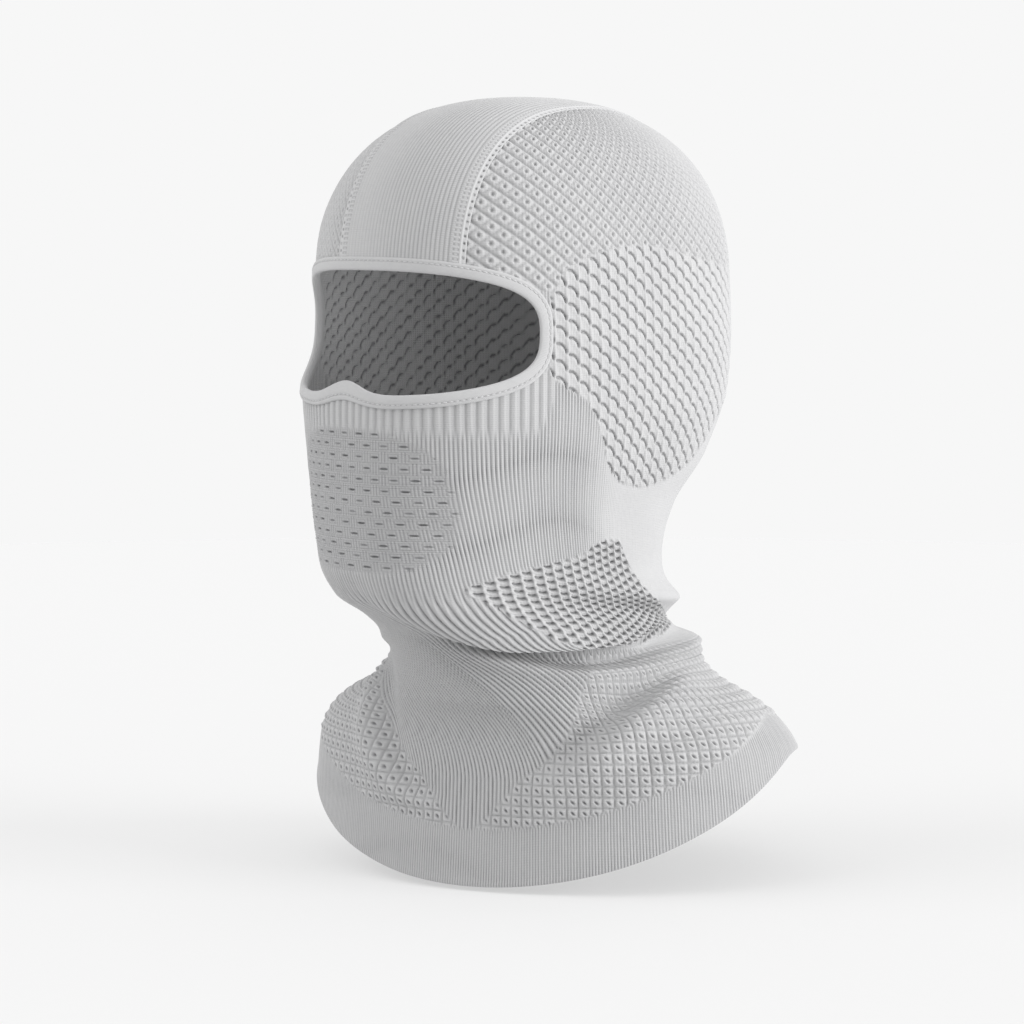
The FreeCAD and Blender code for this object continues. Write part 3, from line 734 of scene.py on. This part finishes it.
def knit_material(name, shade, wale_mm, bump=0.12, sheen=0.25, fuzz=0.5):
    """Pale grey yarn: fine wales and courses as bump, with painted shade in the grooves and holes of the
    knit.
    """
    material = bpy.data.materials.new(name)
    material.use_nodes = True
    tree = material.node_tree
    nodes = tree.nodes
    links = tree.links
    shader = nodes["Principled BSDF"]
    shader.inputs["Roughness"].default_value = 0.88
    shader.inputs["Specular IOR Level"].default_value = 0.25
    shader.inputs["Sheen Weight"].default_value = sheen
    shader.inputs["Sheen Roughness"].default_value = 0.6
    place = nodes.new("ShaderNodeUVMap")
    place.uv_map = "knit"
    where = nodes.new("ShaderNodeTexCoord")

    def wave(axis, period, distortion):
        node = nodes.new("ShaderNodeTexWave")
        node.bands_direction = axis
        node.inputs["Scale"].default_value = 0.314 / period
        node.inputs["Distortion"].default_value = distortion
        node.inputs["Detail"].default_value = 1.0
        links.new(place.outputs["UV"], node.inputs["Vector"])
        return node.outputs["Fac"]

    def noise(scale, detail):
        node = nodes.new("ShaderNodeTexNoise")
        node.inputs["Scale"].default_value = scale
        node.inputs["Detail"].default_value = detail
        links.new(where.outputs["Object"], node.inputs["Vector"])
        return node.outputs["Fac"]

    def maths(operation, first, second):
        node = nodes.new("ShaderNodeMath")
        node.operation = operation
        for socket, value in zip(node.inputs, (first, second)):
            if isinstance(value, float):
                socket.default_value = value
            else:
                links.new(value, socket)
        return node.outputs[0]
    stitches = maths("ADD", wave("X", wale_mm, 0.6), wave("Y", wale_mm * 0.8, 0.9))
    yarn = maths("ADD", stitches, maths("MULTIPLY", noise(2600.0, 2.0), fuzz * 2.0))
    bumps = nodes.new("ShaderNodeBump")
    bumps.inputs["Strength"].default_value = 0.55
    bumps.inputs["Distance"].default_value = bump * MM
    links.new(yarn, bumps.inputs["Height"])
    links.new(bumps.outputs["Normal"], shader.inputs["Normal"])
    # Painted shade: the point attribute mixes the yarn's grey towards a grey at 0.3 of it, in the grooves and
    # holes.
    painted_shade = nodes.new("ShaderNodeAttribute")
    painted_shade.attribute_name = "painted_shade"
    painted_shade_mix = nodes.new("ShaderNodeMix")
    painted_shade_mix.data_type = "RGBA"
    painted_shade_mix.inputs["A"].default_value = (shade, shade, shade * 1.005, 1)
    painted_shade_mix.inputs["B"].default_value = (shade * 0.30, shade * 0.30, shade * 0.31, 1)
    links.new(painted_shade.outputs["Fac"], painted_shade_mix.inputs["Factor"])
    mottle = nodes.new("ShaderNodeMix")
    mottle.data_type = "RGBA"
    mottle.blend_type = "MULTIPLY"
    mottle.inputs["B"].default_value = (0.90, 0.90, 0.91, 1)
    patches = maths("MULTIPLY", noise(420.0, 4.0), noise(60.0, 2.0))
    links.new(maths("MULTIPLY", patches, 1.6), mottle.inputs["Factor"])
    links.new(painted_shade_mix.outputs["Result"], mottle.inputs["A"])
    links.new(mottle.outputs["Result"], shader.inputs["Base Color"])
    return material


SHADE = 0.47
MATERIALS = {
    "rib_knit": knit_material("rib_knit", SHADE, 1.2),
    "lattice_knit": knit_material("lattice_knit", SHADE, 1.3),
    "mesh_knit": knit_material("mesh_knit", SHADE, 1.3),
    "vent_knit": knit_material("vent_knit", SHADE, 1.2),
    "plain_knit": knit_material("plain_knit", SHADE * 1.02, 1.0, bump=0.10),
    "neck_fold_knit": knit_material("neck_fold_knit", SHADE, 1.3),
    "hem_knit": knit_material("hem_knit", SHADE * 1.02, 0.9, bump=0.12),
    "binding_tape": knit_material("binding_tape", SHADE * 1.02, 0.7, bump=0.08, fuzz=0.3),
    "sewing_thread": knit_material("sewing_thread", SHADE * 1.08, 0.5, bump=0.05, fuzz=0.3),
}
SLOTS = {entry["node"]: entry["material_slot"] for entry in frame["record"]["subparts"]}
BODY_OF = {node: body for body, nodes in frame["record"]["behaviour"]["bodies"].items() for node in nodes}
NECK = ("throat_rib_panel", "left_neck_mesh", "right_neck_mesh", "left_neck_fold", "right_neck_fold",
        "nape_fold")


def place(piece, node):
    """Gives a piece its material, makes it stand for its CAD node by hiding that node, and joins it to its
    body; the neck's pieces are not joined to a body, their placement is baked into their points instead.
    """
    piece.data.materials.append(MATERIALS[SLOTS[node]])
    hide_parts(node)
    if node in NECK:
        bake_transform(piece)
    else:
        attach(piece, BODY_OF[node])


def declare_cloth(piece, grid, blocks, held="stretched"):
    """Closes a wrapping panel's lining grid round by repeating its first column, and does nothing more with
    it: no sheet is declared and no flat size is measured. No cut size is known.
    """
    if grid.shape[1] == blocks.shape[1]:
        grid = np.concatenate([grid, grid[:, :1]], axis=1)


# ---- the knitted tube's zones

def strip_across(points):
    """Distance across the crown strip's middle line, positive to the wearer's left."""
    t = math.radians(STRIP_TURN)
    return points[..., 0] * math.cos(t) + points[..., 1] * math.sin(t)


def tube_zones():
    """The node of each block of the chart, as an array of indices into the names."""
    rows = np.arange(ALL_ROWS) + 0.5
    columns = np.arange(BLOCKS_ROUND) + 0.5
    angle, z = chart_place(*np.meshgrid(rows, columns, indexing="ij"))
    away = np.abs(angle)
    hem_up = z - hem_height(angle[:1])
    base = knit_form(angle, z)
    left = angle > 0
    names = []
    zone = np.full(angle.shape, -1)

    def take(name, where):
        names.append(name)
        zone[where & (zone == -1)] = len(names) - 1

    def take_sides(name, where):
        take("left_" + name, where & left)
        take("right_" + name, where & ~left)
    opening = (eye_part(angle, z) < 0.35) & (away < 70)
    strip = (np.abs(strip_across(base)) < STRIP_HALF) & (z > STRIP_END)
    take("hole", opening | strip)
    take_sides("temple_lattice", z > np.where(away < 53, 15, ear_top(away)))
    take_sides("ear_mesh", (away > 52.5) & (z > ear_low(away)))
    take("under_eye_gather", (away < 55) & (z > gather_low(away)))
    take("mouth_vent_panel", vent_reach(angle, z) < 1)
    take_sides("neck_mesh", (away > 26) & (away < 118) & (z < kite_top(away)) & (z > kite_low(away)))
    take("chin_rib_panel", (away < 30) & (z > HEAD_LOW) & (z < VENT_MIDDLE))
    take_sides("cheek_rib", (away < 80) & (z > HEAD_LOW))
    take("nape_jersey", z > HEAD_LOW)
    take("hem_band", hem_up < hem_rise(angle))
    take("throat_rib_panel", (away < rib_angle(z)) & (z > BIB_TOP))
    take("chest_rib_panel", away < rib_angle(z))
    take_sides("bib_lattice", z < BIB_TOP)
    take_sides("neck_fold", away < 125)
    take("nape_fold", np.ones_like(left))
    return names, zone


# Cells in each block, along the wales and round the garment, for each kind of zone.
FINENESS = {
    "temple_lattice": (2, 2), "ear_mesh": (3, 2), "neck_mesh": (3, 3), "mouth_vent_panel": (4, 3),
    "bib_lattice": (2, 3), "neck_fold": (3, 2), "nape_fold": (3, 2), "nape_jersey": (1, 2),
    "hem_band": (1, 4),
}
RIB_FINENESS = (1, 3)


def build_tube():
    names, zone = tube_zones()
    for k, name in enumerate(names):
        if name == "hole":
            continue
        fine_rows, fine_columns = FINENESS.get(name.replace("left_", "").replace("right_", ""), RIB_FINENESS)
        mask = zone == k
        rows = np.nonzero(mask.any(axis=1))[0]
        top, bottom = rows[0], rows[-1] + 1
        columns = mask.any(axis=0)
        wrap = bool(columns.all())
        first = 0
        wide = BLOCKS_ROUND
        if not wrap:
            # Start after the longest run of empty columns, so that the panel is in one stretch.
            taken = np.nonzero(columns)[0]
            gaps = np.diff(np.concatenate([taken, [taken[0] + BLOCKS_ROUND]]))
            first = taken[(np.argmax(gaps) + 1) % len(taken)]
            wide = BLOCKS_ROUND - gaps.max() + 1
        blocks = np.roll(mask, -first, axis=1)[top:bottom, :wide]
        last = 0 if wrap else 1
        row = top + np.arange((bottom - top) * fine_rows + 1) / fine_rows
        column = first + np.arange(wide * fine_columns + last) / fine_columns
        outer, lining, uv, painted_shade, shading = knit_surface(row, column)
        arrays = panel_arrays(outer, lining, uv, painted_shade, blocks, fine_rows, fine_columns, wrap)
        piece = make_mesh("knit_" + name, *arrays, normals=shading.reshape(-1, 3))
        place(piece, name)
        held = "gathered" if name == "under_eye_gather" else "stretched"
        declare_cloth(piece, lining[::fine_rows, ::fine_columns], blocks, held)


# ---- the crown strip and its seams

def strip_chart(across, tilt):
    """Chart angle and height where the plane this far across the strip meets the dome.

    tilt is the direction in that plane: 0 is forward, 90 is up and 180 is back.
    """
    across, tilt = np.broadcast_arrays(np.asarray(across, float), np.asarray(tilt, float))
    turn = math.radians(STRIP_TURN)
    t = np.radians(tilt)
    low = np.zeros(across.shape)
    high = np.full(across.shape, 200.0)
    for _ in range(40):
        reach = (low + high) / 2
        along = -reach * np.cos(t)
        x = across * math.cos(turn) - along * math.sin(turn)
        y = across * math.sin(turn) + along * math.cos(turn)
        z = DOME_BASE + reach * np.sin(t)
        angle = np.degrees(np.arctan2(x, -y))
        edge = form(angle, np.clip(z, 0, CROWN_TOP - 0.001))
        inside = (z < CROWN_TOP - 0.001) & (np.hypot(x, y) < np.hypot(edge[..., 0], edge[..., 1]))
        low = np.where(inside, reach, low)
        high = np.where(inside, high, reach)
    return angle, z, np.stack([x, y, z], axis=-1)


def strip_ends(across):
    """Tilt at each end of the strip: the binding in front, the strip's end level behind."""
    across = np.asarray(across, float)
    tilts = []
    for start in (0.0, 180.0):
        low = np.full(across.shape, start)
        high = np.full(across.shape, 90.0)
        for _ in range(24):
            tilt = (low + high) / 2
            angle, z, _ = strip_chart(across, tilt)
            if start == 0.0:
                short = (eye_part(chart_angle(angle, z), z) < 0.35) | (z < 20)
            else:
                short = z < STRIP_END
            low = np.where(short, tilt, low)
            high = np.where(short, high, tilt)
        tilts.append(low)
    return tilts


def strip_surface(across, rows):
    """Points, normals and arc lengths on the dome, for lines across the strip and rows along it."""
    front, back = strip_ends(across)
    way = np.linspace(0, 1, rows)[:, None]
    tilt = front[None, :] + (back - front)[None, :] * way
    side = np.repeat(across[None, :], rows, axis=0)
    _, _, point = strip_chart(side, tilt)
    _, _, ahead = strip_chart(side, tilt + 1.0)
    _, _, behind = strip_chart(side, tilt - 1.0)
    _, _, right = strip_chart(side + 1.0, tilt)
    _, _, left = strip_chart(side - 1.0, tilt)
    normal = unit(np.cross(right - left, ahead - behind))
    steps = np.linalg.norm(np.diff(point, axis=0), axis=-1)
    length = np.concatenate([np.zeros((1, len(across))), np.cumsum(steps, axis=0)])
    return side, point, normal, length


def closed_strip(name, node, side, point, normal, length, relief, painted_shade, inside):
    """A panel along the strip: relief above the dome, inside below it."""
    outer = (point + normal * relief[..., None])[:, ::-1]
    lining = (point + normal * inside)[:, ::-1]
    uv = np.stack([side, length], axis=-1)[:, ::-1]
    blocks = np.ones(((point.shape[0] - 1) // 2, (point.shape[1] - 1) // 2), dtype=bool)
    arrays = panel_arrays(outer, lining, uv, painted_shade[:, ::-1], blocks, 2, 2, wrap=False)
    piece = make_mesh(name, *arrays)
    place(piece, node)
    return piece, lining[::2, ::2], blocks


STRIP_RIB = 2.0


def build_strip():
    step = 0.5
    across = np.linspace(-STRIP_HALF, STRIP_HALF, 2 * int(STRIP_HALF / step) + 1)
    rows = 2 * 190 + 1
    side, point, normal, length = strip_surface(across, rows)
    rib = np.abs(np.cos(np.pi * side / STRIP_RIB)) ** 0.8
    strength = 0.34 * (0.35 + 0.65 * smooth(-24, 4, side))
    relief = strength * rib + RELIEF_TOP * 0.2 - 0.45
    # Painted shade in the grooves between the strip's ribs.
    painted_shade = 0.4 * (1 - rib) * strength / 0.34
    declare_cloth(*closed_strip("knit_crown_rib_strip", "crown_rib_strip", side, point, normal, length,
                                relief, painted_shade, -FABRIC))


SEAM_RUNG = 2.1
SEAM_HALF = 3.0
SEAM_SUNK = 0.35
# Half the seam's length, as its rows are counted.
SEAM_ROWS_LENGTH = 135


def build_seams():
    """Flatlock seams: a ladder of short stitches beside a thin raised cord, and a row of needle holes."""
    step = 0.25
    for name, sign in (("left", 1), ("right", -1)):
        width = np.arange(-SEAM_HALF, SEAM_HALF + 1e-6, step)
        if len(width) % 2 == 0:
            width = width[:-1]
        rows = 4 * int(SEAM_ROWS_LENGTH / (2 * step)) + 1
        side, point, normal, length = strip_surface(sign * STRIP_HALF + width, rows)
        out = sign * (side - sign * STRIP_HALF)
        rung = 0.5 + 0.5 * np.cos(2 * np.pi * length / SEAM_RUNG)
        ladder_area = smooth(-SEAM_HALF, -2.4, out) * smooth(0.4, 0.0, out)
        cord = np.exp(-((out - 0.75) / 0.38) ** 2)
        holes = dot(length / (SEAM_RUNG * 1.5), np.zeros_like(out), 0.22, 1)
        holes = holes * np.exp(-((out - 1.9) / 0.42) ** 2)
        relief = 0.10 + 0.42 * ladder_area * rung + 0.42 * cord - 0.7 * holes
        relief = relief * smooth(SEAM_HALF, 2.4, np.abs(out)) - SEAM_SUNK
        # Painted shade between the ladder's stitches and in the needle holes.
        painted_shade = np.clip(0.5 * ladder_area * (1 - rung) + holes, 0, 1)
        closed_strip("knit_%s_crown_seam" % name, name + "_crown_seam", side, point, normal, length,
                     relief, painted_shade, -0.9)


# ---- the eye binding and its topstitch

def ring_point(turn, part):
    """Points and normals round the eye opening, at this part of the binding's width."""
    angle, z = eye_outline(turn, part)
    return knit_form(angle, z), form_normal(angle, z)


# The point of the tape's section that lies in the stitched groove, and the groove's place across the tape.
GROOVE_POINT = 7
GROOVE_AT = 0.71


def build_binding():
    """A folded tape: a closed ring with a soft rounded section and a stitched groove near its outer edge."""
    turns = 720
    around = np.linspace(0, 2 * np.pi, turns, endpoint=False)
    # (part of the width, height above the knit) once round the tape's section
    upper = [(-0.02, -0.9), (-0.03, -0.2), (0.02, 0.30), (0.12, 0.58), (0.32, 0.70), (0.52, 0.70),
             (0.64, 0.62),
             (GROOVE_AT, 0.34), (0.78, 0.56), (0.88, 0.52), (0.96, 0.30), (1.0, -0.1), (1.0, -0.8)]
    lower = [(0.96, -2.2), (0.8, -2.75), (0.5, -2.9), (0.2, -2.7), (0.04, -2.0)]
    section = upper + lower
    rings = []
    for part, height in section:
        point, normal = ring_point(around, part)
        rings.append(point + normal * height)
    points = np.stack(rings)
    count, size = points.shape[:2]
    k, t = np.meshgrid(np.arange(count), np.arange(size), indexing="ij")
    k = k.reshape(-1)
    t = t.reshape(-1)

    def at(i, j):
        return (i % count) * size + j % size
    faces = np.stack([at(k, t), at(k, t + 1), at(k + 1, t + 1), at(k + 1, t)], axis=1)
    length = distance_along(points[4])
    girth = distance_along(points[:, 0])
    uv = np.stack(np.broadcast_arrays(length[None, :], girth[:, None]), axis=-1).reshape(-1, 2)
    # Painted shade: the point of the section that lies in the stitched groove is painted darker.
    painted_shade_values = np.zeros((count, size))
    painted_shade_values[GROOVE_POINT] = 0.35
    piece = make_mesh("binding_tape", points.reshape(-1, 3), uv, painted_shade_values.reshape(-1), [faces[:, ::-1]])
    place(piece, "eye_binding")


def capsules(paths, radius, name, node, sides=6):
    """Short stitches: for each (start, middle, end, up), a thin rod with rounded ends."""
    points = []
    faces = []
    profile = [(0.0, 0.25), (0.12, 0.8), (0.35, 1.0), (0.65, 1.0), (0.88, 0.8), (1.0, 0.25)]
    for start, middle, end, up in paths:
        base = len(points)
        axis = unit(end - start)
        side = unit(np.cross(axis, up))
        for t, wide in profile:
            centre = (1 - t) ** 2 * start + 2 * t * (1 - t) * middle + t * t * end
            for s in range(sides):
                turn = 2 * math.pi * s / sides
                points.append(centre + radius * wide * (math.cos(turn) * side + math.sin(turn) * up))
        for ring in range(len(profile) - 1):
            for s in range(sides):
                a = base + ring * sides + s
                b = base + ring * sides + (s + 1) % sides
                faces.append((a, b, b + sides, a + sides))
        faces.append(tuple(base + s for s in reversed(range(sides))))
        last = base + (len(profile) - 1) * sides
        faces.append(tuple(last + s for s in range(sides)))
    mesh = bpy.data.meshes.new(name)
    mesh.from_pydata([tuple(p * MM) for p in points], [], faces)
    mesh.polygons.foreach_set("use_smooth", np.ones(len(faces), dtype=bool))
    layer = mesh.uv_layers.new(name="knit")
    spots = np.array(points)
    loops = np.empty(len(mesh.loops), dtype=np.int32)
    mesh.loops.foreach_get("vertex_index", loops)
    layer.data.foreach_set("uv", spots[loops][:, [0, 2]].astype(np.float32).reshape(-1))
    attribute = mesh.attributes.new("painted_shade", "FLOAT", "POINT")
    attribute.data.foreach_set("value", np.zeros(len(points), dtype=np.float32))
    place(add_object(name, mesh), node)


def build_topstitch():
    """Short stitches, each 2.6 mm of the way round, in the groove near the binding's outer edge."""
    stitch = 2.6
    fine = np.linspace(0, 2 * np.pi, 4000)
    line, _ = ring_point(fine, GROOVE_AT)
    length = distance_along(line)
    count = int(length[-1] / stitch)
    paths = []
    for k in range(count):
        ends = []
        for way in (0.12, 0.5, 0.88):
            turn = np.interp((k + way) * length[-1] / count, length, fine)
            point, normal = ring_point(np.array([turn]), GROOVE_AT)
            ends.append(point[0] + normal[0] * (0.70 if way == 0.5 else 0.36))
        paths.append((ends[0], ends[1] + normal[0] * 0.12, ends[2], normal[0]))
    capsules(paths, 0.30, "topstitch_threads", "eye_binding_topstitch")


build_tube()
build_strip()
build_seams()
build_binding()
build_topstitch()


# ---- floor, light and camera

CAMERA_AZIMUTH = math.radians(45)
CAMERA_HEIGHT = math.radians(2)
CAMERA_DISTANCE = 1.6
CAMERA_LENS = 123.75
# What the camera looks at, seen from it: metres right of and above the middle of the head.
AIM_RIGHT = -0.0048
AIM_UP = -0.0827
back = Vector((math.sin(CAMERA_AZIMUTH) * math.cos(CAMERA_HEIGHT),
               -math.cos(CAMERA_AZIMUTH) * math.cos(CAMERA_HEIGHT), math.sin(CAMERA_HEIGHT)))
right = Vector((math.cos(CAMERA_AZIMUTH), math.sin(CAMERA_AZIMUTH), 0))
up = back.cross(right)


def aim(item, target):
    item.rotation_euler = (item.location - target).to_track_quat("Z", "Y").to_euler()


def add_camera():
    data = bpy.data.cameras.new("camera")
    data.sensor_width = 36
    data.lens = CAMERA_LENS
    camera = add_object("camera", data)
    camera.location = back * CAMERA_DISTANCE
    aim(camera, right * AIM_RIGHT + up * AIM_UP)
    bpy.context.scene.camera = camera


# name, azimuth from the camera in degrees (positive to its right), elevation, strength
SUNS = [("key", 72, 10, 2.9), ("top", -75, 40, 0.75)]
SUN_WIDTH = 40
WORLD_TONE = 0.93
# Part of the floor's brightness that shadows don't take away.
FLOOR_GLOW = 0.5


def add_sun(name, azimuth, elevation, strength):
    """A wide soft sun, aimed by where it stands as seen from the middle of the head."""
    data = bpy.data.lights.new(name, "SUN")
    data.energy = strength
    data.angle = math.radians(SUN_WIDTH)
    light = add_object(name, data)
    turn = CAMERA_AZIMUTH + math.radians(azimuth)
    lift = math.radians(elevation)
    light.location = (math.sin(turn) * math.cos(lift), -math.cos(turn) * math.cos(lift), math.sin(lift))
    aim(light, Vector((0, 0, 0)))


def add_inner_light():
    """Daylight that comes through the thin knit, as a faint lamp inside the head."""
    data = bpy.data.lights.new("through_knit", "POINT")
    data.energy = 0.035
    data.shadow_soft_size = 0.03
    light = add_object("through_knit", data)
    light.location = (-0.015, -0.045, 0.015)


def add_stage(floor_level):
    """A round pale floor, as bright as the sky around it, so that no edge shows."""
    rings = [0.4, 0.8, 1.2, 1.6]
    points = [(0.0, 0.0, floor_level)]
    faces = []
    around = 64
    for radius in rings:
        for k in range(around):
            t = 2 * math.pi * k / around
            points.append((radius * math.cos(t), radius * math.sin(t), floor_level))
    for k in range(around):
        faces.append((0, 1 + k, 1 + (k + 1) % around))
    for ring in range(len(rings) - 1):
        for k in range(around):
            a = 1 + ring * around + k
            b = 1 + ring * around + (k + 1) % around
            faces.append((a, a + around, b + around, b))
    mesh = bpy.data.meshes.new("floor")
    mesh.from_pydata(points, [], faces)
    floor = add_object("floor", mesh)
    material = bpy.data.materials.new("pale_floor")
    material.use_nodes = True
    shader = material.node_tree.nodes["Principled BSDF"]
    lit = WORLD_TONE + sum(sun[3] * math.sin(math.radians(sun[2])) for sun in SUNS) / math.pi
    shade = WORLD_TONE * (1 - FLOOR_GLOW) / lit
    shader.inputs["Base Color"].default_value = (shade, shade, shade, 1)
    shader.inputs["Roughness"].default_value = 1.0
    shader.inputs["Specular IOR Level"].default_value = 0.0
    shader.inputs["Emission Color"].default_value = (WORLD_TONE, WORLD_TONE, WORLD_TONE, 1)
    shader.inputs["Emission Strength"].default_value = FLOOR_GLOW
    mesh.materials.append(material)


def add_world(strength):
    world = bpy.data.worlds.new("studio")
    bpy.context.scene.world = world
    world.use_nodes = True
    background = world.node_tree.nodes["Background"]
    background.inputs["Color"].default_value = (WORLD_TONE, WORLD_TONE, WORLD_TONE, 1)
    background.inputs["Strength"].default_value = strength


FLOOR_BELOW = 0.002
lowest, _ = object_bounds()
add_camera()
add_stage(lowest[2] - FLOOR_BELOW)
add_world(1.0)
for name, azimuth, elevation, strength in SUNS:
    add_sun(name, azimuth, elevation, strength)
add_inner_light()
bpy.context.scene.view_settings.view_transform = "Standard"
